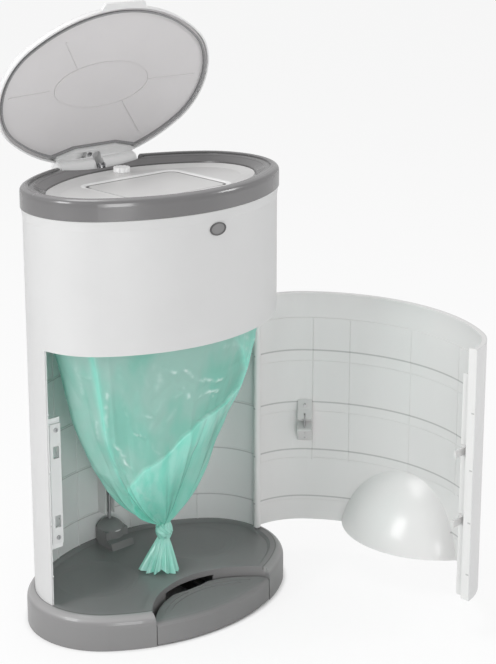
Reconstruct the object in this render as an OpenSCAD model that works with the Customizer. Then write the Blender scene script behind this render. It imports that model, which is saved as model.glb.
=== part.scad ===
// Nappy bin with a pedal lid, a press-through trap flap and a full-height front door.
// Millimetres. Origin on the floor under the middle of the bin, +Z up, pedal towards -Y,
// door hinge on the +X side. It is drawn as used: pedal down, lid open, door open.

/* [Body] */
// Half width of the oval body shell
body_a = 200; // [170:1:240]
// Half depth of the oval body shell
body_b = 137; // [118:1:160]
// Radius of the two end arcs of the oval
end_r = 104; // [98:1:110]
// Wall thickness of the moulded shells
wall = 3; // [2:0.5:4]
// Height of the base rim that the shell stands on
rim_z = 50; // [44:1:60]
// Height of the top edge of the body shell
shell_top = 624; // [560:1:700]
// Height of the top edge of the doorway
door_top = 426; // [380:1:470]
// Height of the lips and ribs on inner walls
rib_h = 1.2; // [0.8:0.2:2]

/* [Base] */
// How far the foot of the base stands out past the shell
foot_out = 12; // [8:1:16]
// Radius of the toe recess in plan
toe_r = 135; // [125:1:145]
// Radius of the non-slip pads
pad_r = 9; // [6:1:12]
// Thickness of the non-slip pads
pad_t = 3; // [2:0.5:4]
// Depth of the toe recess behind the front of the shell
toe_depth = 73.4; // [60:1:85]
// Width of the raised border round the toe recess
toe_border = 11; // [8:1:14]
// Thickness of the base floor
floor_t = 3; // [2.5:0.5:4]
// Drop from the rim to the base floor
floor_drop = 4; // [3:0.5:6]

/* [Pedal] */
// Gap between the pedal and the toe recess at its rear
pedal_gap = 7; // [5:0.5:9]
// Height of the pedal tread when pressed
pedal_h = 36; // [30:1:38]
// Distance of the pedal pivot behind the middle of the bin
pivot_y = 20; // [10:1:30]
// Height of the pedal pivot
pivot_z = 16; // [14:0.5:18]
// Half width of the toe recess at its mouth
toe_x = 108; // [100:1:112]

/* [Door] */
// Angle that the door stands open
door_open = 96; // [80:1:104]
// Distance of the door pivot inside the end of the oval
door_inset = 5.5; // [5:0.5:7]
// Radius of the door pivot pins
door_pin_r = 2; // [1.5:0.25:2.5]
// Gap round the door
door_gap = 2; // [1:0.5:3]
// Width of the folded edge of the door
door_edge_w = 14; // [10:1:18]
// Radius of the toe dome pressed into the door
dome_r = 143; // [138:1:146]

/* [Top] */
// Height of the lower edge of the top ring
ring_z = 612; // [548:1:688]
// How far the top ring stands out past the shell
ring_out = 3; // [2.5:0.5:6]
// Height of the top ring
ring_h = 29.5; // [27:0.5:34]
// Width of the top ring from its outside to the tray
ring_w = 35; // [33:1:40]
// Width of the tray at each end of the trap opening
tray_side = 88; // [82:1:98]
// Width of the tray behind the trap opening
tray_rear = 51; // [47:1:59]
// Width of the tray in front of the trap opening
tray_front = 37; // [31:1:45]
// Corner radius of the trap opening
trap_r = 12; // [8:1:16]
// Depth of the chute under the trap
chute_h = 80; // [60:1:90]

/* [Lid] */
// Angle that the lid stands open
lid_open = 70; // [60:1:75]
// Distance of the lid hinge inside the rear of the shell
hinge_in = 10; // [8:0.5:12]
// Height of the lid hinge above the ring's lower edge
hinge_up = 15; // [14:0.5:16]
// Radius of the lid hinge pin
hinge_pin_r = 3; // [2:0.25:3.5]
// Half width of the hinge arm
arm_x = 68; // [60:1:72]
// Inset of the lid's rim from the shell's outline
lid_in = 13; // [11:0.5:15]
// Height of the lid panel above the hinge when closed
panel_up = 19.5; // [19:0.5:22]
// Height of the lid's dome over its panel
dome_h = 16; // [14:1:22]
// Throw of the lid crank
crank_r = 12; // [11:0.5:12.5]
// Height of the lock knob
knob_h = 7; // [5:0.5:7]
// Distance of the lock knob from the middle of the tray
knob_x = 12; // [0:1:40]

/* [Rod] */
// Radius of the push rod
rod_r = 2.5; // [2:0.25:3]

/* [Bag] */
// Gap between the bag and each end of the shell
bag_end = 35; // [25:1:50]
// Gap between the bag and the front and rear of the shell
bag_side = 38; // [32:1:50]
// Height of the knot
knot_z = 106; // [100:1:115]

/* [Hidden] */
$fn = 96;
eps = 0.01;
big = 1200;
// clearance between pieces that seat on each other
seat = 0.3;
// radial clearance of a pin in its bore
run = 0.05;

// The plan is an oval of four arcs. Every outline is this oval moved in or out by d.
end_x = body_a - end_r;
side_r = (body_a * body_a - 2 * body_a * end_r + body_b * body_b) / (2 * (body_b - end_r));
side_y = side_r - body_b;
join_ang = atan2(side_y, end_x);

floor_z = rim_z - floor_drop;
lever_x = 33.5;
pivot_ear_x = lever_x + 8;
dish_t = 1.6;
pad_x = end_x + 54;
pad_y = end_r - 42;
toe_y = -body_b + toe_depth - toe_r;
door_x = body_a - door_inset;
door_y = -5;
door_low = rim_z + door_gap;
door_high = door_top - door_gap;
jamb_y = -8;
hinge_y = body_b - hinge_in;
hinge_z = ring_z + hinge_up;
ring_top = ring_z + ring_h;
tray_in = ring_w - ring_out;
tray_z = ring_z + 14.5;
trap_z = tray_z - 1.5;
bay_x = arm_x + 8;
bay_y = hinge_y - 16.5;
bay_z = ring_z + 2.5;
// the crank stands as far above the level of its hinge when the lid is open as below it when shut
crank_up = lid_open / 2;
rod_y = hinge_y - crank_r * cos(crank_up);
rod_gap = 2 * seat;
hook_r = 1.6;
knuckle_r = 10;
arm_face = 9.5;
slot_x = 7.5;
panel_z = hinge_z + panel_up;
seal_t = 3.4;
rim_low = panel_z - 4;
rim_high = panel_z + 5;
dome_flat = -90;
notch_y = body_b - 41;
notch_side = notch_y + 10.5;
rod_foot_z = floor_z - floor_t - 9;
knob_y = body_b - tray_in - 19;
film_z = shell_top - 68;
ear_x = arm_x + 3.5;
lever_front = toe_y + toe_r - pedal_gap - 30;
cutter_x = side_r * cos(join_ang);
cutter_h = 72;
cutter_z = 218;
trap_x = body_a - tray_in - tray_side;
trap_rear = body_b - tray_in - tray_rear;
trap_front = tray_front + tray_in - body_b;
flap_y = trap_rear - 7;
flap_z = trap_z - 8;
latch_z = [168, 271];
latch_x = 22 - body_a;
strike_x0 = latch_x - 10;
strike_x1 = latch_x + 8;
strike_y = 5;
strike_z0 = 135;
strike_z1 = 313;
badge_z = ring_z - 26;
bag_a = body_a - bag_end;
bag_flat = (body_b - bag_side) / bag_a;
housing_r = 21;
housing_cap = 0.6 * housing_r;
housing_ball = (housing_r * housing_r + housing_cap * housing_cap) / (2 * housing_cap);
guide_foot = floor_z + 46;
channel_out = 26;
channel_w = 18;

function side_arc_y(x, d) = sqrt((side_r + d) * (side_r + d) - x * x) - side_y;

module oval(d = 0) {
  reach = (side_r + d) * cos(join_ang);
  for (s = [-1, 1]) translate([s * end_x, 0]) circle(end_r + d);
  intersection() {
    translate([0, -side_y]) circle(side_r + d);
    translate([0, side_y]) circle(side_r + d);
    square([2 * reach, 2 * body_b + 2 * d], center = true);
  }
}

module oval_plate(d, z0, z1) {
  translate([0, 0, z0]) linear_extrude(z1 - z0) oval(d);
}

module oval_tube(d_out, d_in, z0, z1) {
  difference() {
    oval_plate(d_out, z0, z1);
    oval_plate(d_in, z0 - 1, z1 + 1);
  }
}

// Sweeps a profile round the oval: its x is the offset from the oval and its y is the height.
module oval_sweep() {
  for (s = [0, 180]) rotate(s) translate([end_x, 0, 0]) rotate(-join_ang)
    rotate_extrude(angle = 2 * join_ang) translate([end_r, 0]) children();
  for (s = [0, 180]) rotate(s) translate([0, -side_y, 0]) rotate(join_ang)
    rotate_extrude(angle = 180 - 2 * join_ang) translate([side_r, 0]) children();
}

module block(x0, x1, y0, y1, z0, z1) {
  translate([x0, y0, z0]) cube([x1 - x0, y1 - y0, z1 - z0]);
}

module rounded_plate(x0, x1, y0, y1, r, z0, z1) {
  translate([0, 0, z0]) linear_extrude(z1 - z0) {
    for (x = [x0 + r, x1 - r], y = [y0 + r, y1 - r]) translate([x, y]) circle(r);
    translate([x0 + r, y0]) square([x1 - x0 - 2 * r, y1 - y0]);
    translate([x0, y0 + r]) square([x1 - x0, y1 - y0 - 2 * r]);
  }
}

// A round bar along X
module bar_x(r, x0, x1, y, z) {
  translate([x0, y, z]) rotate([0, 90, 0]) cylinder(r = r, h = x1 - x0);
}

// ---- base ----

module base_solid() {
  shoulder = 12;
  oval_sweep() polygon(concat(
    [[-20, 0], [foot_out, 0]],
    [for (a = [0:15:90]) [foot_out - shoulder * (1 - cos(a)), rim_z - 16 + 16 * sin(a)]],
    [[-8, rim_z], [-12, floor_z], [-20, floor_z]]));
  oval_plate(-19, 0, floor_z);
}

// The toe recess in plan, grown by g: an arc at the back and straight sides at the mouth
module toe_space(g, z0, z1) {
  intersection() {
    translate([0, toe_y, z0]) cylinder(r = toe_r + g, h = z1 - z0);
    block(-toe_x - g, toe_x + g, -big, 0, z0, z1);
  }
}

module base_ribs() {
  for (x = [-140, -70, 70, 140]) block(x - 1.5, x + 1.5, -body_b, body_b, 6, floor_z - 1);
  block(-body_a, body_a, 84, 87, 6, floor_z - 1);
}

module base() color("dimgray") difference() {
  union() {
    difference() {
      base_solid();
      oval_plate(foot_out - wall, -1, rim_z - 17);
      oval_plate(-8, -1, floor_z - floor_t);
    }
    intersection() {
      base_solid();
      difference() {
        toe_space(wall, 0, rim_z);
        toe_space(0, -1, rim_z + 1);
      }
    }
    // raised border round the toe recess
    intersection() {
      oval_plate(-5, floor_z - floor_t, rim_z - 0.4);
      toe_space(toe_border, floor_z - 1, rim_z);
    }
    // pivot ears
    for (s = [-1, 1]) translate([s * pivot_ear_x, pivot_y, 0]) {
      block(-3, 3, -9, 9, pivot_z, floor_z - 1);
      bar_x(9, -3, 3, 0, pivot_z);
    }
    intersection() {
      oval_plate(0, 6, floor_z - 1);
      difference() {
        base_ribs();
        toe_space(1, 0, rim_z);
        block(-pivot_ear_x, pivot_ear_x, -body_b, body_b, -1, rim_z - 1);
      }
    }
    // bosses over the non-slip pads
    for (x = [-1, 1], y = [-1, 1]) translate([x * pad_x, y * pad_y, pad_t])
      cylinder(r = pad_r + 2, h = floor_z - 1 - pad_t);
    // boss for the lower door pivot
    translate([door_x, door_y, floor_z - floor_t]) cylinder(r = 5, h = rim_z - floor_z + floor_t);
    // foot under the middle of the floor
    cylinder(r = 8, h = floor_z - 1);
  }
  toe_space(0, -1, rim_z + 1);
  // window in the recess wall for the lever
  block(-46, 46, toe_y + toe_r - 20, toe_y + toe_r + 6, 4, floor_z - floor_t - 2);
  for (s = [-1, 1]) bar_x(hinge_pin_r + run, s * pivot_ear_x - 4, s * pivot_ear_x + 4, pivot_y, pivot_z);
  // shallow dishes in the floor
  for (s = [-1, 1]) translate([s * end_x, 24, floor_z - dish_t]) rotate_extrude()
    polygon([[0, 0], [44, 0.1], [54, 0.7], [60, dish_t], [60, dish_t + 1], [0, dish_t + 1]]);
  translate([door_x, door_y, rim_z - 8]) cylinder(r = door_pin_r + 0.02, h = 20);
  translate([0, rod_y, 0]) cylinder(r = rod_r + 0.6, h = rim_z);
}

module base_pads() color("black")
  for (x = [-1, 1], y = [-1, 1]) translate([x * pad_x, y * pad_y, 0]) cylinder(r = pad_r, h = pad_t);

module pedal_pin() color("silver")
  bar_x(hinge_pin_r, -pivot_ear_x - 5, pivot_ear_x + 5, pivot_y, pivot_z);

module rod_housing() color("dimgray") difference() {
  intersection() {
    union() {
      oval_plate(floor_z - rim_z - 8 - seat, floor_z, rim_z + 1);
      oval_plate(-wall - seat, rim_z + seat, floor_z + 60);
    }
    union() {
      translate([0, rod_y, floor_z]) cylinder(r = housing_r, h = 26);
      translate([0, rod_y, floor_z + 26]) rotate_extrude() intersection() {
        translate([0, housing_cap - housing_ball]) circle(housing_ball);
        square(40);
      }
      // stepped cover over the end of the lever
      translate([-housing_r, 0, floor_z]) rotate([90, 0, 90]) linear_extrude(2 * housing_r)
        polygon([[rod_y - 34, 0], [rod_y - 30, 10], [rod_y - 18, 12], [rod_y - 17, 24], [rod_y, 26],
          [rod_y, 0]]);
    }
  }
  translate([0, rod_y, floor_z - 1]) cylinder(r = rod_r + 0.6, h = 60);
}

// ---- body shell and what is fixed in it ----

// The space that the door fills, grown by g
module doorway(g) {
  block(-big, 0, -big, jamb_y + g, rim_z - 1, door_top + g);
  block(-eps, big, -big, 3 + g, rim_z - 1, door_top + g);
}

// Grid of thin ribs on the inside of the lower rear wall
module wall_grid() {
  for (z = [92, 170, 248, 332]) oval_tube(-wall + 1, -wall - rib_h, z, z + 2);
  for (x = [-150:50:150]) {
    y = side_arc_y(x, -wall);
    block(x - 1, x + 1, y - rib_h - 6, y + 1, rim_z, door_top);
  }
}

module body_shell() color("white") {
  difference() {
    union() {
      oval_tube(0, -wall, rim_z, shell_top);
      // flare under the top ring
      oval_sweep() polygon([[-1.6, ring_z - 18], [-0.5, ring_z - 18], [ring_out - 1.8, ring_z - 6],
        [ring_out - 1, ring_z - 0.6], [-1.6, ring_z - 0.6]]);
      intersection() {
        oval_tube(-wall + 1, -wall - rib_h, rim_z, door_top);
        difference() {
          wall_grid();
          block(-12, 12, 0, body_b, 0, door_top + 1);
        }
      }
      // lip along the top of the doorway
      intersection() {
        oval_tube(-wall + 1, -wall - 5, door_top, door_top + 2);
        block(-big, big, -big, 0, 0, big);
      }
      // ledge that carries the film ring
      oval_sweep() polygon([[1 - wall, film_z - 21], [-channel_out - 4, film_z - 3],
        [-channel_out - 4, film_z], [1 - wall, film_z]]);
    }
    doorway(0);
    // bay for the lid hinge
    block(-bay_x, bay_x, bay_y, big, ring_z, shell_top + 1);
    translate([0, rod_y, film_z - 30]) cylinder(r = rod_r + 1, h = 60);
    translate([door_x, door_y, door_top - 2]) cylinder(r = door_pin_r + 0.02, h = 12);
  }
  // flange behind the left jamb, with holes for the latches and screws
  difference() {
    intersection() {
      oval_plate(-wall + 1, strike_z0 - 8, strike_z1 + 8);
      block(-body_a, strike_x1 + 1, strike_y, strike_y + wall, strike_z0 - 8, strike_z1 + 8);
    }
    for (z = latch_z) block(latch_x - 5, latch_x + 5, strike_y - 1, strike_y + wall + 1, z - 9, z + 9);
  }
  // boss for the upper door pivot
  intersection() {
    oval_plate(-1, door_top, door_top + 12);
    difference() {
      translate([door_x, door_y, door_top]) cylinder(r = 5, h = 12);
      translate([door_x, door_y, door_top - 1]) cylinder(r = door_pin_r + 0.02, h = 9);
    }
  }
}

// Half-round channel up the rear wall
module rod_guide() color("white") {
  z0 = guide_foot;
  z1 = film_z - 24;
  difference() {
    intersection() {
      oval_plate(-wall - seat, z0, z1);
      union() {
        translate([0, rod_y, z0]) cylinder(r = 9, h = z1 - z0);
        block(-9, 9, rod_y, body_b, z0, z1);
      }
    }
    translate([0, rod_y, z0 - 1]) cylinder(r = 7, h = big);
    block(-10, 10, 0, rod_y - 2, z0 - 1, big);
    block(-7, 7, 0, rod_y, z0 - 1, big);
  }
}

module strike_plate() color("white") difference() {
  block(strike_x0, strike_x1, strike_y - wall, strike_y, strike_z0, strike_z1);
  for (z = latch_z) block(latch_x - 5, latch_x + 5, strike_y - wall - 1, strike_y + 1, z - 9, z + 9);
  for (z = [strike_z0 + 9, strike_z1 - 9]) translate([latch_x, strike_y + 1, z]) rotate([90, 0, 0])
    cylinder(r = 1.8, h = wall + 2);
}

module strike_screws() color("silver") for (z = [strike_z0 + 9, strike_z1 - 9])
  translate([latch_x, strike_y, z]) rotate([90, 0, 0]) {
    cylinder(r = 1.7, h = wall);
    difference() {
      translate([0, 0, wall]) cylinder(r = 3.4, h = 1.4);
      translate([0, 0, wall + 1.4]) cube([1, 4, 1.6], center = true);
      translate([0, 0, wall + 1.4]) cube([4, 1, 1.6], center = true);
    }
  }

module door_pins() color("silver") {
  translate([door_x, door_y, rim_z - 8]) cylinder(r = door_pin_r, h = 18);
  translate([door_x, door_y, door_top - 10]) cylinder(r = door_pin_r, h = 16);
}

module front_badge() color("gray") difference() {
  $fn = 360;
  intersection() {
    oval_tube(1.6, 0, badge_z - 12, badge_z + 12);
    translate([0, 0, badge_z]) rotate([90, 0, 0]) scale([1, 0.64, 1]) cylinder(r = 14, h = body_b + 10);
  }
  intersection() {
    oval_tube(3, 1, badge_z - 12, badge_z + 12);
    translate([0, 0, badge_z]) rotate([90, 0, 0]) scale([1, 0.6, 1]) cylinder(r = 12, h = body_b + 10);
  }
}

// ---- top ring, tray, hinge ----

module top_ring() color("gray") difference() {
  o = ring_out;
  union() {
    oval_tube(o - 0.8, 1, ring_z + 2, ring_top - 12);
    oval_sweep() polygon(concat(
    [[0.4, ring_z], [o, ring_z], [o, ring_top - 10]],
    [for (a = [15:15:75]) [o - 8 + 8 * cos(a), ring_top - 8 + 8 * sin(a)]],
    [[o - 9, ring_top], [o - 12, ring_top - 0.6], [o - 13, ring_top - 2.6], [o - 19, ring_top - 3.2],
     [o - 21, ring_top - 4.2], [-tray_in + 2, tray_z + 4.2], [-tray_in, tray_z + 2.5],
     [-tray_in, tray_z - 8], [-tray_in + 3, tray_z - 8], [-tray_in + 3, tray_z],
     [-12, ring_top - 7], [-4.5, ring_top - 7], [-4.5, shell_top + seat], [0.4, shell_top + seat]]));
  }
  block(-bay_x, bay_x, bay_y, big, ring_z - 1, big);
}

// Floor of the bay that the hinge arm drops into, with the two ears that hold the pin
module hinge_ears() color("gray") difference() {
  union() {
    intersection() {
      oval_plate(ring_out, ring_z, bay_z);
      block(-bay_x + seat, bay_x - seat, bay_y + seat, big, ring_z, bay_z);
    }
    for (s = [-1, 1]) {
      bar_x(6.5, s * ear_x - 3, s * ear_x + 3, hinge_y, hinge_z);
      block(s * ear_x - 3, s * ear_x + 3, hinge_y - 6.5, hinge_y + 1, bay_z - 1, hinge_z);
    }
  }
  for (s = [-1, 1]) bar_x(hinge_pin_r + 0.02, s * ear_x - 4, s * ear_x + 4, hinge_y, hinge_z);
  // notch for the rod and the swing of the crank
  block(-slot_x - 0.5, slot_x + 0.5, bay_y - 1, hinge_y - 4, ring_z - 1, bay_z + 1);
}

module lid_pin() color("silver") bar_x(hinge_pin_r, -ear_x - 3, ear_x + 3, hinge_y, hinge_z);

module trap_shape(g, z0, z1) {
  rounded_plate(-trap_x - g, trap_x + g, trap_front - g, trap_rear + g, trap_r + g, z0, z1);
}

module inlet_tray() color("white") difference() {
  union() {
    oval_sweep() polygon([[-tray_in - seat, tray_z], [-tray_in - seat, tray_z + 2.2],
      [-tray_in - 7, tray_z + 1.2], [-tray_in - 20, tray_z - 0.5], [-tray_in - 30, tray_z - 0.5],
      [-tray_in - 30, tray_z - 3], [-tray_in - 20, tray_z - 3], [-tray_in - 8, tray_z - 1.6]]);
    oval_plate(-tray_in - 28, tray_z - 3, tray_z - 0.5);
    // chute walls
    trap_shape(3, tray_z - 2 - chute_h, tray_z - 0.5);
    // seat of the knob
    translate([knob_x, knob_y, tray_z - 2]) cylinder(r = 13, h = 4);
  }
  trap_shape(1, tray_z - 3 - chute_h, tray_z + 3);
  // bevel round the opening
  hull() {
    trap_shape(1, tray_z - 3, tray_z - 2.9);
    trap_shape(6, tray_z + 1, tray_z + 1.1);
  }
  for (s = [-1, 1]) bar_x(2.05, s * (trap_x + 1) - 5, s * (trap_x + 1) + 5, flap_y, flap_z);
  translate([knob_x, knob_y, tray_z - 6]) cylinder(r = 4.1, h = 10);
}

module trap_flap() color("whitesmoke") {
  trap_shape(-0.6, trap_z - 2.5, trap_z);
  for (s = [-1, 1]) {
    block(s * (trap_x - 10) - 2, s * (trap_x - 10) + 2, flap_y - 5, flap_y + 4, flap_z, trap_z - 2);
    bar_x(5, s * (trap_x - 10) - 2, s * (trap_x - 10) + 2, flap_y, flap_z);
    bar_x(2, s * (trap_x - 4) - 6.5, s * (trap_x - 4) + 6.5, flap_y, flap_z);
  }
  // stiffening ribs under the flap
  for (x = [-45, 0, 45]) block(x - 1, x + 1, trap_front + 12, trap_rear - 14, trap_z - 6, trap_z - 2.5);
}

module lock_knob() color("white") {
  translate([knob_x, knob_y, tray_z + 2 + seat]) difference() {
    cylinder(r = 12, h = knob_h);
    for (a = [0:30:330]) rotate(a + 15) translate([13, 0, -1]) cylinder(r = 2.4, h = 12);
  }
  translate([knob_x, knob_y, tray_z - 6]) cylinder(r = 4, h = 9);
}

module lock_cam() color("white") translate([knob_x, knob_y, tray_z - 9]) {
  cylinder(r = 8, h = 3);
  block(-4, 4, -knob_y + trap_rear + 5, 0, 0, 3);
}

module film_ring() color("lightgray") {
  inner = channel_out + channel_w;
  oval_tube(-channel_out, -inner, film_z, film_z + 3);
  oval_tube(-channel_out, -channel_out - 2, film_z + 2, film_z + 26);
  oval_tube(2 - inner, -inner, film_z + 2, film_z + 26);
}

// ---- bag ----

function bag_r(t) = bag_a * (1 - pow(t, 1.75)) + 9 * t;

module bag() color("mediumaquamarine") {
  top = film_z - seat;
  neck = knot_z + 11;
  n = 14;
  outer = [for (i = [0:n]) let (t = i / n) [bag_r(t), door_top - 10 + (neck - door_top + 10) * t]];
  scale([1, bag_flat, 1]) rotate_extrude() polygon(concat(
    [[bag_a - 1.2, top], [bag_a, top]], outer,
    [[0, neck]], [[0, neck + 3]],
    [for (i = [n - 1:-1:0]) outer[i] + [-1.2, 1.2]]));
  translate([0, -5, knot_z]) sphere(12);
  translate([-4, -9, floor_z + 3]) cylinder(r1 = 24, r2 = 7, h = knot_z - floor_z - 10);
}

// ---- lid, drawn closed and turned open about its hinge ----

module opened_lid() {
  translate([0, hinge_y, hinge_z]) rotate([-lid_open, 0, 0]) translate([0, -hinge_y, -hinge_z])
    children();
}

function dome_z(d) = rim_high + dome_h - (dome_h - 2) * pow((d - dome_flat) / (-lid_in - 4 - dome_flat), 2);

module lid_section(t) {
  inner = -lid_in - t;
  polygon(concat(
    [[inner, rim_low], [-lid_in, rim_low], [-lid_in, rim_high - 3], [-lid_in - 1.2, rim_high]],
    [for (i = [0:8]) let (d = -lid_in - 4 + (dome_flat + lid_in + 4) * i / 8) [d, dome_z(d)]],
    [for (i = [8:-1:0]) let (d = -lid_in - 4 + (dome_flat + lid_in + 4) * i / 8)
      [d - (i < 8 ? 1 : 0), dome_z(d) - t]],
    [[inner, rim_high - 0.6]]));
}

module lid_shell() color("white") opened_lid() difference() {
  union() {
    oval_sweep() lid_section(2.4);
    oval_plate(dome_flat + 0.5, rim_high + dome_h - 2.4, rim_high + dome_h);
    // finger tab
    intersection() {
      translate([0, -body_b + lid_in + 18, rim_low]) cylinder(r = 42, h = 4);
      difference() {
        block(-40, 40, -body_b + lid_in - 7, -body_b + lid_in + 4, rim_low, rim_low + 4);
        oval_plate(-lid_in - 1, rim_low - 1, rim_low + 5);
      }
    }
  }
  // room for the hinge arm
  block(-arm_x - seat, arm_x + seat, notch_y, big, rim_low - 1, panel_z + 3);
}

// Rear of the panel and of its seal, cut straight for the hinge arm
module rear_notch(g) {
  polygon([[-arm_x - 12 - g, body_b + 40], [-arm_x - 9 - g, notch_side - g],
    [9 - arm_x / 1.5 - g, notch_y - g], [arm_x / 1.5 - 9 + g, notch_y - g],
    [arm_x + 9 + g, notch_side - g], [arm_x + 12 + g, body_b + 40]]);
}

module panel_outline(d, g) {
  difference() {
    oval(d);
    rear_notch(g);
  }
}

module ridge(x0, y0, x1, y1) {
  len = norm([x1 - x0, y1 - y0]);
  translate([x0, y0, panel_z - 1]) rotate([0, 0, atan2(y1 - y0, x1 - x0)])
    translate([0, -0.9, 0]) cube([len, 1.8, 1.2]);
}

module lid_panel() color("lightgray") opened_lid() {
  translate([0, 0, panel_z]) linear_extrude(2) panel_outline(-lid_in - 2.4 - seat, 0);
  difference() {
    translate([-8, -3, panel_z - 1]) scale([1, 0.43, 1]) cylinder(r = 84, h = 1.2);
    translate([-8, -3, panel_z - 2]) scale([1, 0.425, 1]) cylinder(r = 82, h = 4);
  }
  ridge(-101, -2, -168, 1);
  ridge(78, -2, 165, -1);
  ridge(-57, -32, -88, -76);
  ridge(36, 29, 80, 83);
}

module lid_seal() color("dimgray") opened_lid() translate([0, 0, panel_z - seal_t])
  linear_extrude(seal_t) difference() {
    panel_outline(-lid_in - 6.5, 0.2);
    panel_outline(-lid_in - 9, 2.7);
  }

// Profile of the hinge arm: x runs back from the hinge axis and y runs up from it
module arm_profile() {
  front = notch_y + 0.6 - hinge_y;
  circle(knuckle_r);
  polygon([[front, panel_up + 3], [front, arm_face], [-18.5, arm_face], [-15, 1], [-8, -5.9],
    [knuckle_r - 0.1, 1], [8, 20], [-2.5, panel_up + 3]]);
}

module lid_arm() color("white") opened_lid() difference() {
  intersection() {
    translate([-arm_x, hinge_y, hinge_z]) rotate([90, 0, 90]) linear_extrude(2 * arm_x) arm_profile();
    translate([0, 0, hinge_z - 2 * knuckle_r]) linear_extrude(4 * knuckle_r + panel_up) rear_notch(-0.6);
  }
  bar_x(hinge_pin_r + run, -arm_x - 1, arm_x + 1, hinge_y, hinge_z);
  // clear of the top ring in front of the bay when the lid is shut
  difference() {
    oval_sweep() polygon([[-tray_in - 1.2, tray_z - 10], [-tray_in - 1.2, tray_z + 3.4],
      [-tray_in + 1.4, tray_z + 5.4], [ring_out - 21, ring_top - 3], [ring_out - 13, ring_top - 1.4],
      [ring_out - 9, ring_top + 1.2], [ring_out + 2, ring_top + 1.2], [ring_out + 2, tray_z - 10]]);
    block(-bay_x, bay_x, bay_y + 0.7, big, 0, big);
  }
  // arched slot for the crank and the rod
  block(-slot_x, slot_x, hinge_y - 18, hinge_y + 7, hinge_z - 12, hinge_z + 16);
  translate([0, hinge_y - 18, hinge_z - 12]) cylinder(r = slot_x, h = 28);
  // wedge-shaped recess beside the slot
  translate([0, hinge_y - 13, hinge_z]) rotate([90, 0, 0]) linear_extrude(14)
    polygon([[-38, arm_face - 0.5], [-slot_x - 11, arm_face - 0.5], [-slot_x - 11, arm_face + 7]]);
}

module lid_crank() color("silver") opened_lid() difference() {
  union() {
    for (s = [-1, 1]) translate([s * (slot_x - 3.5), hinge_y, hinge_z]) rotate([crank_up, 0, 0])
      intersection() {
        block(-1, 1, -crank_r - 4.5, 0, -4.5, 4.5);
        bar_x(crank_r + 4.1, -2, 2, 0, 0);
      }
    bar_x(6, -slot_x + seat, slot_x - seat, hinge_y, hinge_z);
  }
  bar_x(hinge_pin_r + run, -slot_x, slot_x, hinge_y, hinge_z);
  // slots for the hook of the rod
  translate([0, hinge_y, hinge_z]) rotate([crank_up, 0, 0]) {
    for (r = [crank_r + 0.6, crank_r - 3]) bar_x(hook_r + 0.7, -slot_x, slot_x, -r, 0);
    block(-slot_x, slot_x, -crank_r - 0.6, -crank_r + 3, -hook_r - 0.7, hook_r + 0.7);
  }
}

module arm_screw() color("silver") opened_lid()
  translate([-slot_x - 6, hinge_y - 23, hinge_z + arm_face - 1.4]) difference() {
    cylinder(r = 3.6, h = 1.4);
    translate([-2.2, -0.4, -0.5]) cube([4.4, 0.8, 1.1]);
    translate([-0.4, -2.2, -0.5]) cube([0.8, 4.4, 1.1]);
  }

// ---- pedal, lever and push rod ----

// Plan of the tread, grown by g: the toe recess moved forward by the gap behind the pedal
module tread_space(g, z0, z1) {
  translate([0, -pedal_gap + 1.5, 0]) toe_space(g - 1.5, z0, z1);
}

module pedal_tread() color("gray") {
  o = foot_out - 0.5;
  difference() {
    intersection() {
      union() {
        oval_plate(o - 1, 2, pedal_h - 8);
        oval_sweep() polygon([[-60, 2], [o, 2], [o, pedal_h - 6], [o - 1.1, pedal_h - 3.4],
          [o - 3.5, pedal_h - 1.4], [o - 7.5, pedal_h - 0.4], [o - 14, pedal_h], [-60, pedal_h]]);
      }
      tread_space(0, 0, pedal_h + 1);
    }
    // underside
    intersection() {
      oval_plate(o - 3, -1, pedal_h - 3.4);
      tread_space(-3, -1, pedal_h - 3.4);
    }
    // two shallow steps in the tread
    for (k = [0, 1]) intersection() {
      tread_space(-10 - 7 * k, pedal_h - 0.7 * (k + 1), pedal_h + 1);
      oval_plate(o - 22 - 8 * k, 0, big);
    }
    // slots for the two arms of the lever
    for (s = [-1, 1]) block(s * lever_x - 2.3, s * lever_x + 2.3, -100, 0, 4, 19);
  }
  // ribs that the arms of the lever are fixed to
  for (s = [-1, 1]) intersection() {
    block(s * (lever_x - 3.5) - 1.5, s * (lever_x - 3.5) + 1.5, -big, big, 4, pedal_h - 3);
    oval_plate(o - 2, 0, big);
    tread_space(-2, 0, pedal_h);
  }
}

module lever_side(x) {
  top = rod_foot_z - rod_gap;
  translate([x - 2, 0, 0]) rotate([90, 0, 90]) linear_extrude(4) polygon([[lever_front, 6],
    [pivot_y - 8, 7], [pivot_y + 8, 7], [rod_y + 4, top - 9], [rod_y + 4, top],
    [rod_y - 2.5, top], [pivot_y + 6, pivot_z + 9], [pivot_y - 6, pivot_z + 9], [lever_front, 17]]);
  bar_x(9, x - 2, x + 2, pivot_y, pivot_z);
}

module pedal_lever() color("dimgray") {
  top = rod_foot_z - rod_gap;
  difference() {
    union() {
      for (s = [-1, 1]) lever_side(s * lever_x);
      block(-lever_x, lever_x, rod_y - 2.5, rod_y + 4, top - 6, top);
      block(-lever_x, lever_x, toe_y + toe_r + 12, toe_y + toe_r + 16, 7, 17);
      bar_x(7, -lever_x, lever_x, pivot_y, pivot_z);
    }
    bar_x(hinge_pin_r + run, -big, big, pivot_y, pivot_z);
  }
}

module push_rod() color("silver") {
  hook_z = hinge_z + crank_r * sin(crank_up);
  translate([0, rod_y, rod_foot_z]) cylinder(r = rod_r, h = hook_z - rod_foot_z);
  bar_x(hook_r, -slot_x + 1, slot_x - 1, rod_y, hook_z);
}

// ---- door, drawn closed and turned open about its pivot ----

module opened_door() {
  translate([door_x, door_y, 0]) rotate([0, 0, door_open]) translate([-door_x, -door_y, 0]) children();
}

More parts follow.
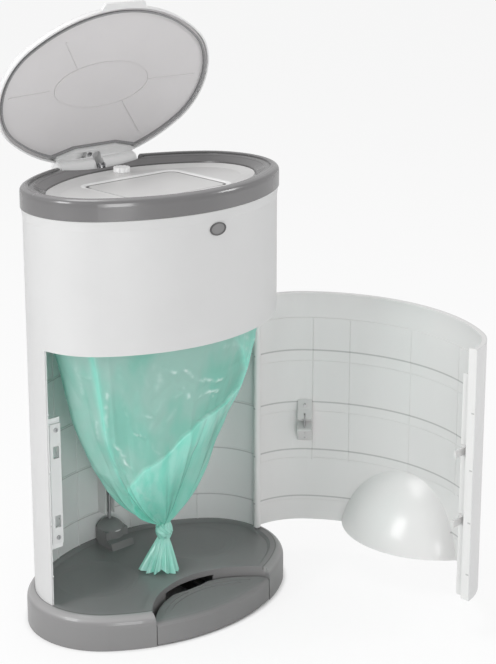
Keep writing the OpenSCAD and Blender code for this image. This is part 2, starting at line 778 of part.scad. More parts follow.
module door_region() {
  block(-big, 0, -big, jamb_y - 0.8, 0, big);
  block(-eps, big, -big, door_y, 0, big);
}

module toe_dome(r) {
  translate([0, toe_y, rim_z - 22]) sphere(r);
}

module door_panel() color("white") opened_door() difference() {
  union() {
    difference() {
      intersection() {
        union() {
          oval_tube(0, -wall, door_low, door_high);
          oval_tube(-wall + 1, -wall - rib_h, door_low, door_high - 41);
        }
        door_region();
      }
      // grooves between the moulded fields of the liner
      for (z = [door_low + 33, door_low + 103, door_low + 180, door_low + 262])
        oval_tube(-wall - 0.6, -wall - 2, z, z + 1.4);
      for (x = [-150, -100, 0, 100, 150]) block(x - 0.7, x + 0.7, -side_arc_y(x, -wall - 0.6),
        -side_arc_y(x, -wall - 3), door_low + 100, door_high - 41);
    }
    // folded free edge
    intersection() {
      oval_plate(0, door_low, door_high);
      block(-body_a, -body_a + door_edge_w, jamb_y - 3.4, jamb_y - 0.8, 0, big);
    }
    intersection() {
      oval_plate(-2, door_low, door_high - 41);
      block(-body_a, latch_x + 6, jamb_y - 12, jamb_y - 9.8, 0, big);
    }
    // top edge
    intersection() {
      oval_tube(-1, -wall - 4, door_high - 2.4, door_high);
      door_region();
    }
    intersection() {
      toe_dome(dome_r);
      oval_plate(-1, door_low, big);
      block(-150, 150, -big, 0, 0, big);
    }
    translate([door_x, door_y, door_low]) cylinder(r = door_inset, h = door_high - door_low);
  }
  toe_dome(dome_r - wall);
  translate([door_x, door_y, 0]) cylinder(r = door_pin_r + run, h = big);
}

module door_latches() color("white") opened_door() for (z = latch_z) {
  block(latch_x - 3, latch_x + 5.5, jamb_y - 9.8, jamb_y - 7.4, z - 8, z + 8);
  block(latch_x - 2, latch_x + 1, jamb_y - 7.4, strike_y + 1, z - 5, z + 5);
  translate([latch_x + 1, 0, z - 5]) linear_extrude(10)
    polygon([[-0.5, strike_y - 3.5], [2.2, strike_y - 3], [-0.5, strike_y + 1]]);
}

module on_door(x) {
  y = -side_arc_y(x, -wall);
  slope = atan2(x, -y + side_y);
  translate([x, y, 0]) rotate([0, 0, slope]) children();
}

module cutter_housing() color("white") opened_door() difference() {
  // its back follows the inside of the door
  intersection() {
    oval_plate(-wall - rib_h - seat, cutter_z - cutter_h, cutter_z + cutter_h);
    on_door(cutter_x) translate([-11, 0, cutter_z - cutter_h / 2]) rotate([90, 0, 90]) linear_extrude(22)
      polygon([[0, 0], [11, 10], [27, 26], [27, cutter_h - 32], [11, cutter_h - 16], [0, cutter_h]]);
  }
  // V-shaped mouth that leads the film to the blade
  on_door(cutter_x) {
    translate([-12, 0, cutter_z + 1]) rotate([90, 0, 90]) linear_extrude(24)
      polygon([[9, -0.8], [28, -9], [28, 9], [9, 0.8]]);
    translate([-1, 6, cutter_z - 15]) cube([2, 17, 30]);
    for (z = [-26, 26]) translate([0, 13, cutter_z + z]) rotate([90, 0, 0]) cylinder(r = 1.8, h = 14);
  }
}

module cutter_blade() color("silver") opened_door() on_door(cutter_x)
  translate([-0.4, 6.4, cutter_z - 14]) cube([0.8, 16, 28]);

module cutter_screws() color("silver") opened_door() on_door(cutter_x)
  for (z = [-26, 26]) translate([0, 11, cutter_z + z]) rotate([90, 0, 0]) cylinder(r = 1.7, h = 5.5);

base();
base_pads();
pedal_pin();
rod_housing();
body_shell();
rod_guide();
strike_plate();
strike_screws();
door_pins();
front_badge();
top_ring();
hinge_ears();
lid_pin();
inlet_tray();
film_ring();
bag();
lid_shell();
lid_panel();
lid_seal();
lid_arm();
lid_crank();
arm_screw();
pedal_tread();
pedal_lever();
push_rod();
trap_flap();
lock_knob();
lock_cam();
door_panel();
door_latches();
cutter_housing();
cutter_blade();
cutter_screws();
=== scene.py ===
"""Nappy bin with its lid up, its door open and a mint film bag hanging inside."""
import math

import bpy
from mathutils import Matrix, Vector, kdtree, noise


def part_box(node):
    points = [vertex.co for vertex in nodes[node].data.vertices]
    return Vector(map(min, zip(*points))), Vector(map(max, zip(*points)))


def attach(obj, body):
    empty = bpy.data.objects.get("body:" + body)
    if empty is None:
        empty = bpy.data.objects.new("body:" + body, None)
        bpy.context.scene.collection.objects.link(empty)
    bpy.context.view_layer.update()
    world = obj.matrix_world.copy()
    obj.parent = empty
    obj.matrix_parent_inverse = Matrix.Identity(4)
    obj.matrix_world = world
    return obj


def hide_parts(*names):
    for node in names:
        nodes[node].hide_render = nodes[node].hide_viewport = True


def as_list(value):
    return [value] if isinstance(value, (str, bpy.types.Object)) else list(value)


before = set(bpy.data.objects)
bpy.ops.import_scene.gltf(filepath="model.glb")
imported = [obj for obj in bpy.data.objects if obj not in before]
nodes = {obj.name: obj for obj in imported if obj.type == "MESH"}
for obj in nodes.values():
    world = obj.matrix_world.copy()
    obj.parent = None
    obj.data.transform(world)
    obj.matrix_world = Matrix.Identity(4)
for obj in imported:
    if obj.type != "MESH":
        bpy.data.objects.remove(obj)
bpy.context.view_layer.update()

scene = bpy.context.scene
scene.view_settings.view_transform = "Standard"

PICTURE_HEIGHT = 664  # pixels


# ---- camera, floor and lights ----

def make_camera():
    """A long lens in front of the bin's left side, above the rim and tipped down."""
    yaw, tip, focal_px, axis_row = math.radians(-42.41), math.radians(14.52), 1675.2, 252
    place = Vector((-1.4508, -1.7855, 1.1222))
    right = Vector((math.cos(yaw), math.sin(yaw), 0))
    level = Vector((-math.sin(yaw), math.cos(yaw), 0))
    ahead = level * math.cos(tip) - Vector((0, 0, math.sin(tip)))
    upward = right.cross(ahead)
    data = bpy.data.cameras.new("bin_camera")
    data.sensor_width = 36
    data.lens = focal_px * data.sensor_width / PICTURE_HEIGHT
    data.shift_y = axis_row / PICTURE_HEIGHT - 0.5
    data.clip_start, data.clip_end = 0.05, 60
    camera = bpy.data.objects.new("bin_camera", data)
    scene.collection.objects.link(camera)
    turn = Matrix((right, upward, -ahead)).transposed().to_4x4()
    camera.matrix_world = Matrix.Translation(place) @ turn
    scene.camera = camera


def soft_lamp(name, place, target, width, height, watts):
    """A soft box that faces its target."""
    data = bpy.data.lights.new(name, "AREA")
    data.shape = "RECTANGLE"
    data.size, data.size_y, data.energy = width, height, watts
    lamp = bpy.data.objects.new(name, data)
    scene.collection.objects.link(lamp)
    lamp.location = place
    lamp.rotation_mode = "QUATERNION"
    lamp.rotation_quaternion = (Vector(target) - Vector(place)).to_track_quat("-Z", "Y")


# ---- finishes ----

# lengths are in metres
# the shell's plan is an oval of four arcs, and these are its radii and centres
END_X, END_R, SIDE_R, SIDE_Y = 0.096, 0.104, 0.26014, 0.12314
DOOR_PIVOT = (0.1945, -0.005, 0)
DOOR_OPEN = 96  # degrees
RIBS = (0.092, 0.170, 0.248, 0.332)  # heights of the level ribs inside the shell and the door
FOOT_REACH = (0.212, 0.149)  # half the width and depth of the floor that the bin covers
ROOM_LIGHT = 0.55
GREY = (0.240, 0.237, 0.238)
RING_GREY = (0.165, 0.162, 0.164)


class Wire:
    """A socket in a finish's nodes. Arithmetic on it adds Math nodes."""

    def __init__(self, finish, socket):
        self.finish = finish
        self.socket = socket

    def maths(self, operation, *values):
        return self.finish.node("ShaderNodeMath", {"operation": operation}, values)

    def __add__(self, other):
        return self.maths("ADD", self, other)

    def __radd__(self, other):
        return self.maths("ADD", other, self)

    def __sub__(self, other):
        return self.maths("SUBTRACT", self, other)

    def __rsub__(self, other):
        return self.maths("SUBTRACT", other, self)

    def __mul__(self, other):
        return self.maths("MULTIPLY", self, other)

    def __rmul__(self, other):
        return self.maths("MULTIPLY", other, self)

    def __pow__(self, other):
        return self.maths("POWER", self, other)

    def size(self):
        return self.maths("ABSOLUTE", self)

    def over(self, least):
        return self.maths("MAXIMUM", self, least)

    def band(self, low, high, soft=0.0003):
        """1 between low and high, with soft edges."""
        return self.within(low - soft, low + soft) * (1 - self.within(high - soft, high + soft))

    def within(self, low, high):
        """0 below low, 1 above high, and smooth between them."""
        return self.finish.node("ShaderNodeMapRange", {"interpolation_type": "SMOOTHSTEP"},
                                {"Value": self, "From Min": low, "From Max": high})


class Finish:
    """One material, built from a Principled shader."""

    def __init__(self, name):
        self.material = bpy.data.materials.new(name)
        self.material.use_nodes = True
        self.tree = self.material.node_tree
        self.tree.nodes.clear()
        self.out = self.tree.nodes.new("ShaderNodeOutputMaterial")
        self.shader = self.tree.nodes.new("ShaderNodeBsdfPrincipled")
        self.plain = Wire(self, self.shader.outputs["BSDF"])
        self.surface(self.plain)

    def surface(self, wire):
        """Shows this shader."""
        self.tree.links.new(wire.socket, self.out.inputs["Surface"])

    def node(self, kind, settings=None, values=(), output=0):
        """Adds a node with its settings first and then the values or wires of its sockets."""
        made = self.tree.nodes.new(kind)
        for key, value in (settings or {}).items():
            if key == "stops":
                ramp = made.color_ramp.elements
                while len(ramp) < len(value):
                    ramp.new(0.5)
                for stop, (at, colour) in zip(ramp, value):
                    stop.position, stop.color = at, (*colour, 1)
            else:
                setattr(made, key, value)
        pairs = values.items() if isinstance(values, dict) else enumerate(values)
        for key, value in pairs:
            self.feed(made.inputs[key], value)
        return Wire(self, made.outputs[output])

    def feed(self, socket, value):
        if isinstance(value, Wire):
            self.tree.links.new(value.socket, socket)
        elif hasattr(socket.default_value, "__len__") and len(socket.default_value) == 4:
            socket.default_value = (*value, 1)
        else:
            socket.default_value = value

    def set(self, **values):
        """Sets sockets of the shader, with an underscore for each space."""
        for key, value in values.items():
            self.feed(self.shader.inputs[key.replace("_", " ")], value)

    def place(self):
        """Where a point of the piece stands, in the frame of the piece."""
        return self.node("ShaderNodeTexCoord", {}, (), "Object")

    def axes(self, place=None):
        """The x, y and z of a place."""
        split = self.node("ShaderNodeSeparateXYZ", {}, (place or self.place(),))
        return [Wire(self, socket) for socket in split.socket.node.outputs]

    def span(self, a, b):
        """The length of the sloping side over a and b."""
        return (a * a + b * b) ** 0.5

    def oval_offset(self, x, y):
        """How far outside the shell's oval outline a place stands in plan."""
        x, y = x.size(), y.size()
        side = self.span(x, y + SIDE_Y) - SIDE_R
        end = self.span(x - END_X, y) - END_R
        beside = x.maths("LESS_THAN", x, (y + SIDE_Y) * (END_X / SIDE_Y))
        return beside * side + (1 - beside) * end

    def cloud(self, scale, detail=3.0, stretch=(1, 1, 1), roughness=0.5):
        """Soft noise over the piece, drawn out where stretch is small."""
        spread = self.node("ShaderNodeVectorMath", {"operation": "MULTIPLY"}, (self.place(), stretch))
        return self.node("ShaderNodeTexNoise", {}, {"Vector": spread, "Scale": scale, "Detail": detail,
                                                    "Roughness": roughness})

    def blend(self, share, low, high):
        """Mixes two colours."""
        return self.node("ShaderNodeMix", {"data_type": "RGBA"}, {0: share, 6: low, 7: high}, 2)

    def bump(self, height, strength, depth, under=None):
        values = {"Height": height, "Strength": strength, "Distance": depth}
        if under is not None:
            values["Normal"] = under
        return self.node("ShaderNodeBump", {}, values)


def shade(colour, by):
    return tuple(min(1.0, c * by) for c in colour)


def moulded_body(name, colour, gloss, grain, grain_scale, wave):
    """Injection-moulded plastic: fine grain, faint sink waves and uneven sheen.

    Gives the finish without its colour, the tone with its faint clouds, and where dust dulls it.
    """
    f = Finish(name)
    broad = f.cloud(7, 3)
    fine = f.cloud(grain_scale, 2)
    dust = f.cloud(60, 5, (1, 1, 0.4), 0.65).within(0.52, 0.8)
    f.set(Roughness=gloss + broad * 0.06 + dust * 0.06 + fine * 0.04)
    f.set(IOR=1.46, Normal=f.bump(fine, grain, 0.00006, f.bump(broad, wave, 0.002)))
    return f, f.blend(broad.within(0.25, 0.75), shade(colour, 0.975), shade(colour, 1.02)), dust


def moulded(name, colour, gloss, grain=0.25, grain_scale=900, wave=0.15):
    """A plain moulding, a little darker where dust lies."""
    f, tone, dust = moulded_body(name, colour, gloss, grain, grain_scale, wave)
    f.set(Base_Color=f.blend(dust * 0.25, tone, shade(colour, 0.94)))
    return f


def lined(name, colour, gloss, marks, coat=0.0, grain=0.25, grain_scale=900, wave=0.15):
    """A moulding with marks, painted shade and painted highlights: (where, colour) pairs laid over the tone
    in turn.
    """
    f, tone = moulded_body(name, colour, gloss, grain, grain_scale, wave)[:2]
    for where, marked in marks(f):
        tone = f.blend(where, tone, marked)
    f.set(Base_Color=tone, Coat_Weight=coat, Coat_Roughness=0.12)
    return f


def ring_painted_shade_and_highlight(f):
    """Painted shade in the step behind the rolled edge, along a groove and in the line where the tray meets
    the ring, and a painted highlight along the rolled edge itself.
    """
    x, y, z = f.axes()
    off = f.oval_offset(x, y)
    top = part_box("top_ring")[1].z
    # painted highlight: a lighter band on the rounded outer top edge
    painted_edge_highlight = off.band(-0.0052, 0.0006, 0.0012) * z.band(top - 0.0035, top + 0.001, 0.0012)
    # painted shade: dark lines in the step, along the groove and in the joint with the tray
    return ((off.band(-0.0112, -0.0094) * z.within(top - 0.006, top - 0.005), shade(RING_GREY, 0.45)),
            (off.band(-0.0192, -0.0180), shade(RING_GREY, 0.75)),
            (off.band(-0.0330, -0.0305), shade(RING_GREY, 0.50)),
            (painted_edge_highlight * 0.35, shade(RING_GREY, 2.2)))


def base_painted_highlight_and_shade(f):
    """Painted highlight along the rolled edge round the foot, and painted shade in a dark line where the
    base meets the shell.
    """
    x, y, z = f.axes()
    off = f.oval_offset(x, y)
    # painted highlight on the rolled edge, then painted shade at the joint with the shell
    return ((off.band(0.001, 0.0105, 0.002) * z.band(0.0415, 0.053, 0.003) * 0.5, shade(GREY, 1.9)),
            (off.band(-0.001, 0.0006, 0.0004) * z.within(0.044, 0.046), shade(GREY, 0.6)))


def housing_painted_highlights(f):
    """Painted highlights along the edges of the two steps of the cover."""
    y, z = f.axes()[1:]
    low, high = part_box("rod_housing")
    rod_y = high.y - (high.x - low.x) / 2
    edges = ((0.030, 0.010), (0.017, 0.024))  # how far in front of the rod, and how far up
    away = (f.span(y - (rod_y - front), z - (low.z + up)) for front, up in edges)
    # painted highlight: a light line along the edge of each step
    return tuple((1 - gap.within(0.0008, 0.0016), (0.75, 0.75, 0.75)) for gap in away)


def flap_edge(f):
    """Distance outside the flap's outline, and how far to the rear and the right a place is."""
    x, y = f.axes()[:2]
    half_x, half_y, middle_y, corner = 0.080, 0.061, -0.007, 0.012
    across = (x.size() - (half_x - corner)).over(0)
    along_y = ((y - middle_y).size() - (half_y - corner)).over(0)
    return f.span(across, along_y) - corner, y.within(0.035, 0.050), x.within(0.060, 0.078)


def tray_painted_shade_and_highlight(f):
    """Painted shade in the joint round the flap, with a painted highlight on the bevel behind it and to its
    right.
    """
    out, rear, right = flap_edge(f)
    side = rear.maths("MINIMUM", rear + right * 0.75 + 0.15, 1)
    # painted highlight on the bevel, then painted shade in the joint, both strongest at the rear and the
    # right
    return ((out.band(0.0030, 0.0095, 0.0012) * side, (0.97, 0.97, 0.97)),
            (out.band(-0.0022, 0.0024) * side * 0.85, (0.10, 0.10, 0.10)))


def badge_marks(f):
    """Darker edge round the oval badge."""
    x, z = f.axes()[::2]
    low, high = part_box("front_badge")
    middle, half_x, half_z = (low + high) / 2, (high.x - low.x) / 2, (high.z - low.z) / 2
    reach = f.span((x - middle.x) * (1 / half_x), (z - middle.z) * (1 / half_z))
    return ((reach.within(0.78, 0.86) * 0.85, shade(GREY, 0.35)),)


def rib_painted_shade(inside, z, share):
    """Painted shade: soft dark lines under the level ribs."""
    return tuple((inside * z.band(rib - 0.0018, rib + 0.0004, 0.0006) * share, (0.30, 0.30, 0.30))
                 for rib in RIBS)


def wall_painted_light_and_shade(f):
    """Painted light and shade on the inside of the rear wall: a tone lighter than outside, and painted shade
    under the ribs.
    """
    x, y, z = f.axes()
    inside = 1 - f.oval_offset(x, y).within(-0.0024, -0.0012)
    # painted light: the inside of the wall lighter than its outside, then painted shade under the ribs
    return ((inside, (0.84, 0.84, 0.84)), *rib_painted_shade(inside, z, 0.5))


def door_painted_light_and_shade(f):
    """The same painted light and shade on the inside of the door, found where the door is when shut."""
    shut = f.node("ShaderNodeVectorRotate", {"rotation_type": "Z_AXIS"},
                  {"Vector": f.place(), "Center": DOOR_PIVOT, "Angle": math.radians(-DOOR_OPEN)})
    x, y, z = f.axes(shut)
    off = f.oval_offset(x, y)
    inside = off.band(-0.0065, -0.0018, 0.0005)
    # painted light: the inside of the door lighter than its outside, then painted shade under the ribs
    return ((1 - off.within(-0.0018, -0.0006), (0.76, 0.755, 0.75)), *rib_painted_shade(inside, z, 0.6))


def steel(name):
    """Drawn wire and stamped sheet, with fine drawing lines."""
    f = Finish(name)
    lines = f.cloud(300, 3, (1, 1, 0.06))
    f.set(Base_Color=f.blend(lines.within(0.3, 0.7), (0.42, 0.42, 0.43), (0.60, 0.60, 0.61)),
          Roughness=0.22 + lines * 0.22, Metallic=1.0, Normal=f.bump(lines, 0.2, 0.0001))
    return f


def rubber(name, colour):
    """Matt rubber with a fine even grain."""
    f = Finish(name)
    fine = f.cloud(700, 3)
    f.set(Base_Color=f.blend(fine.within(0.3, 0.7), shade(colour, 0.85), shade(colour, 1.15)),
          Roughness=0.62 + fine * 0.15, Normal=f.bump(fine, 0.3, 0.0001))
    return f


def film(name):
    """Thin mint film: glossy, creased, deeper in colour where layers lie together, and with painted glints:
    paler, less see-through colour along the creases.
    """
    f = Finish(name)
    ripple = f.cloud(24, 4, (1, 1, 0.45), 0.6)
    streak = f.cloud(60, 3, (1, 1, 0.10), 0.5)
    depth = f.cloud(11, 3, (1, 1, 0.45), 0.6).within(0.40, 0.62)
    doubled = f.node("ShaderNodeAttribute", {"attribute_name": "layers"}, (), "Fac")
    painted_glint = f.node("ShaderNodeAttribute", {"attribute_name": "glints"}, (), "Fac")
    pale = f.blend(depth, (0.38, 0.80, 0.69), (0.62, 0.91, 0.84))
    tint = f.blend(doubled, pale, f.blend(streak.within(0.3, 0.7), (0.27, 0.87, 0.71), (0.46, 0.94, 0.82)))
    # painted highlight: pale glints along the creases
    tint = f.blend(painted_glint * 0.80, tint, (0.90, 1.0, 0.97))
    creased = f.bump(ripple, 0.5, 0.004, f.bump(streak, 0.3, 0.002))
    f.set(Base_Color=tint, Roughness=0.11 + ripple * 0.14, Normal=creased,
          Coat_Weight=0.5, Coat_Roughness=0.06, IOR=1.5)
    through = f.node("ShaderNodeBsdfTranslucent", {}, {"Color": tint, "Normal": creased})
    clear = f.node("ShaderNodeBsdfTransparent", {}, {"Color": (0.74, 0.94, 0.88)})
    glowing = (0.42 - doubled * 0.20) * (1 - painted_glint * 0.7)
    lit = f.node("ShaderNodeMixShader", {}, (glowing, f.plain, through))
    bare = (0.15 - doubled * 0.13 + depth * 0.10) * (1 - painted_glint)
    f.surface(f.node("ShaderNodeMixShader", {}, (bare, lit, clear)))
    return f


def floor_finish():
    """Pale floor, near white to the camera beyond the bin's foot and dark under the bin."""
    f = Finish("pale_floor")
    mottle = f.cloud(3, 3)
    f.set(Base_Color=f.blend(mottle, (0.86, 0.86, 0.86), (0.90, 0.90, 0.90)), Roughness=0.75)
    reach = (1 / FOOT_REACH[0], 1 / FOOT_REACH[1], 0)
    spread = f.node("ShaderNodeVectorMath", {"operation": "MULTIPLY"}, (f.place(), reach))
    out = f.node("ShaderNodeVectorMath", {"operation": "LENGTH"}, (spread,), "Value").within(0.97, 1.05)
    seen = f.node("ShaderNodeLightPath", {}, (), "Is Camera Ray")
    glow = f.node("ShaderNodeEmission", {}, {"Color": (1, 1, 1), "Strength": 1.0})
    share = seen * out * 0.85
    f.surface(f.node("ShaderNodeMixShader", {}, (share, f.plain, glow)))
    return f


# ---- room ----

def make_room():
    """The floor, an even white room and four soft lamps."""
    bpy.ops.mesh.primitive_plane_add(size=24, location=(0, 0, 0))
    ground = bpy.context.object
    ground.name = "pale_floor"
    ground.data.materials.append(floor_finish().material)

    world = bpy.data.worlds.new("studio")
    scene.world = world
    world.use_nodes = True
    tree = world.node_tree
    tree.nodes.clear()
    path = tree.nodes.new("ShaderNodeLightPath")
    room = tree.nodes.new("ShaderNodeBackground")
    room.inputs["Color"].default_value = (1, 1, 1, 1)
    room.inputs["Strength"].default_value = ROOM_LIGHT
    backdrop = tree.nodes.new("ShaderNodeBackground")
    backdrop.inputs["Color"].default_value = (1, 1, 1, 1)
    backdrop.inputs["Strength"].default_value = 1.0
    mix = tree.nodes.new("ShaderNodeMixShader")
    end = tree.nodes.new("ShaderNodeOutputWorld")
    tree.links.new(path.outputs["Is Camera Ray"], mix.inputs[0])
    tree.links.new(room.outputs[0], mix.inputs[1])
    tree.links.new(backdrop.outputs[0], mix.inputs[2])
    tree.links.new(mix.outputs[0], end.inputs["Surface"])

    soft_lamp("key_left", (-2.6, 0.1, 1.5), (0, 0, 0.4), 0.9, 1.4, 30)
    soft_lamp("front_low", (-1.4, -2.7, 0.6), (0, 0, 0.25), 0.9, 0.8, 16.5)
    soft_lamp("fill_right", (2.6, -2.2, 1.4), (0, 0, 0.4), 0.8, 1.2, 23)
    soft_lamp("top", (-0.3, 0.5, 3.2), (0, 0, 0.5), 1.6, 1.2, 26)


# ---- film bag ----

def crumple(p, scale):
    """0 on a crease and up to 1 on the flats between creases."""
    near = noise.voronoi(p * scale)[0]
    return min(1.0, (near[1] - near[0]) * 3.0)


def wrapped(angle):
    """The same angle between half a turn back and half a turn on."""
    return (angle + math.pi) % (2 * math.pi) - math.pi


def skin(name, rows, cols, point, material, closed=True):
    """A mesh sheet from point(row share, column share)."""
    mesh = bpy.data.meshes.new(name)
    verts = [point(i / rows, j / cols) for i in range(rows + 1) for j in range(cols if closed else cols + 1)]
    width = cols if closed else cols + 1
    faces = []
    for i in range(rows):
        for j in range(cols):
            k = (j + 1) % width
            faces.append((i * width + j, i * width + k, (i + 1) * width + k, (i + 1) * width + j))
    mesh.from_pydata(verts, [], faces)
    mesh.polygons.foreach_set("use_smooth", [True] * len(faces))
    mesh.materials.append(material)
    obj = bpy.data.objects.new(name, mesh)
    scene.collection.objects.link(obj)
    return obj


RIDGES = (
    # (share of the way down, angle) pairs, width, height out of the bag
    (((0, -2.62), (0.5, -2.66), (1, -2.48)), 0.040, 0.0060),
    (((0, -2.48), (0.5, -2.55), (1, -2.40)), 0.032, 0.0040),
    (((0, -3.16), (0.5, -3.06), (1, -2.90)), 0.200, 0.0110),
    (((0, -2.30), (0.5, -2.12), (1, -2.15)), 0.130, 0.0050),
    (((0.3, -1.62), (0.6, -1.60), (1, -1.60)), 0.070, 0.0060),
    (((0, -0.80), (0.5, -0.72), (1, -1.00)), 0.100, 0.0080),
    (((0, -1.75), (0.4, -1.95), (1, -1.95)), 0.180, 0.0050),
    (((0, 0.15), (1, 0.0)), 0.160, 0.0160),
    (((0, 1.05), (1, 1.2)), 0.180, 0.0180),
    (((0, 2.00), (1, 1.8)), 0.160, 0.0160),
)
VALLEYS = (
    (((0.3, -1.84), (0.6, -1.86), (1, -1.84)), 0.045, 0.0070),
    (((0.2, -2.36), (0.6, -2.40), (1, -2.30)), 0.050, 0.0040),
    (((0.2, -1.30), (0.6, -1.38), (1, -1.40)), 0.050, 0.0060),
    (((0, -2.86), (0.5, -2.84), (1, -2.70)), 0.060, 0.0050),
)

# the front layer lies over the rest of the film below and to the right of this line
# LAPPED and 22 of the 27 CREASES were worked out outside this script
LAPPED = ((-0.20, -1.40), (0.06, -1.26), (0.175, -1.03), (0.265, -0.82), (0.34, -0.80), (0.385, -1.03),
          (0.405, -1.31), (0.425, -1.54), (0.47, -1.71), (0.525, -1.85), (0.575, -2.04), (0.615, -2.25),
          (0.665, -2.39), (0.72, -2.60), (1.0, -3.0))

CREASES = (
    # the same pairs, how sharp, width; along each crease the film is raised a little and painted pale as a
    # glint, the more the sharper it is
    (((0.143, -1.77), (0.172, -1.69), (0.203, -1.6), (0.242, -1.35), (0.245, -1.24)), 1.00, 0.0018),
    (((0.177, -1.7), (0.205, -1.61), (0.227, -1.52)), 0.90, 0.0018),
    (((0.232, -1.76), (0.268, -1.7), (0.297, -1.68)), 0.90, 0.0018),
    (((0.273, -1.83), (0.26, -1.76)), 0.70, 0.0018),
    (((0.295, -1.56), (0.285, -1.43), (0.3, -1.26)), 1.00, 0.0018),
    (((0.292, -1.42), (0.335, -1.27)), 0.80, 0.0018),
    (((0.1, -2.08), (0.138, -2.03), (0.188, -2), (0.217, -2.04)), 0.60, 0.0042),
    (((0.25, -1.94), (0.312, -2.01), (0.362, -2.08), (0.425, -2.13)), 0.50, 0.0030),
    (((0.34, -1.83), (0.383, -1.92), (0.43, -1.99)), 0.45, 0.0030),
    (((0.47, -2.56), (0.522, -2.49), (0.577, -2.46), (0.613, -2.39)), 0.90, 0.0018),
    (((0.502, -2.52), (0.538, -2.46)), 0.80, 0.0018),
    (((0.112, -2.9), (0.18, -2.87), (0.232, -2.89)), 0.50, 0.0018),
    (((0.305, -2.39), (0.357, -2.35)), 0.60, 0.0018),
    (((0.14, -2.87), (0.145, -2.74)), 0.50, 0.0018),
    (((0.083, -1.38), (0.09, -1.22), (0.155, -0.93)), 0.50, 0.0030),
    (((0.073, -1.09), (0.122, -0.82), (0.155, -0.64)), 0.70, 0.0018),
    (((0.44, -2.13), (0.51, -2.08), (0.538, -1.98)), 0.50, 0.0018),
    (((0.055, -2.39), (0.172, -2.4), (0.29, -2.39)), 0.40, 0.0030),
    (((0.07, -2.19), (0.148, -2.17), (0.2, -2.12)), 0.35, 0.0030),
    (((0.597, -3.28), (0.633, -3.08), (0.653, -2.9)), 0.40, 0.0030),
    (((0.645, -2.47), (0.728, -2.37), (0.792, -2.23)), 0.50, 0.0030),
    (((0.388, -2.27), (0.467, -2.23), (0.522, -2.22)), 0.35, 0.0030),
    (((0.2, -2.55), (0.3, -2.6), (0.4, -2.62)), 0.80, 0.0018),
    (((0.36, -2.75), (0.44, -2.8)), 0.85, 0.0018),
    (((0.33, -2.2), (0.36, -2.05)), 0.85, 0.0018),
    (((0.12, -1.95), (0.15, -1.86)), 0.90, 0.0018),
    (((0.42, -2.3), (0.44, -2.18)), 0.80, 0.0018),
)


def along(path, at):
    """The angle of a fold's line at a share of the way down."""
    if at <= path[0][0]:
        return path[0][1]
    for (a, u), (b, v) in zip(path, path[1:]):
        if at <= b:
            return u + (v - u) * (at - a) / (b - a)
    return path[-1][1]


def lapped(t, u):
    """How far the front layer covers this place: 0 outside its edge and 1 well inside."""
    past = wrapped(u - along(LAPPED, t))
    if not 0 < past < 2.2:
        return 0.0
    rise = min(1.0, past / 0.05)
    return rise * rise * (3 - 2 * rise) * math.exp(-(past / 1.1) ** 2)


def layered(piece, layers, glints):
    """Stores at each point how far layers of film lie together there, and how strong the painted glint along
    a crease is.
    """
    for name, values in (("layers", layers), ("glints", glints)):
        piece.data.attributes.new(name, "FLOAT", "POINT").data.foreach_set("value", values)
    return piece


def gathered(piece):
    """Film drawn tight together: in layers nearly all over, and painted a little paler all over with a faint
    glint.
    """
    count = len(piece.data.vertices)
    return layered(piece, [0.95] * count, [0.22] * count)


